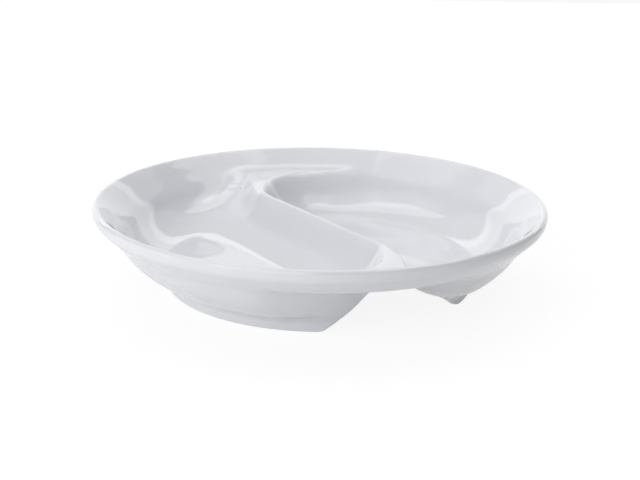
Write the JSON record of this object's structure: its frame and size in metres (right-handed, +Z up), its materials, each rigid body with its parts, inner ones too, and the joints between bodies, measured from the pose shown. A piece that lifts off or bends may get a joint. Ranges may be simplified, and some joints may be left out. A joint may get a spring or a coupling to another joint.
{
  "type": "divided serving bowl",
  "caption": "Round glazed dish with a flared rim, parted into D-shaped wells by a hollow S-shaped divider, standing on foot rings.",
  "frame": {"origin": "centre of the base, on the plane that both foot rings stand on", "axes": "+Z up, +Y along the straight middle of the divider, +X across the divider"},
  "size_m": [0.25, 0.25, 0.0465],
  "materials": {
    "glaze": "glossy white glaze",
    "biscuit": "bare fired clay, matt"
  },
  "bodies": {
    "root": {"bowl_shell": "glaze", "left_foot_ring": "biscuit", "right_foot_ring": "biscuit"}
  },
  "joints": []
}
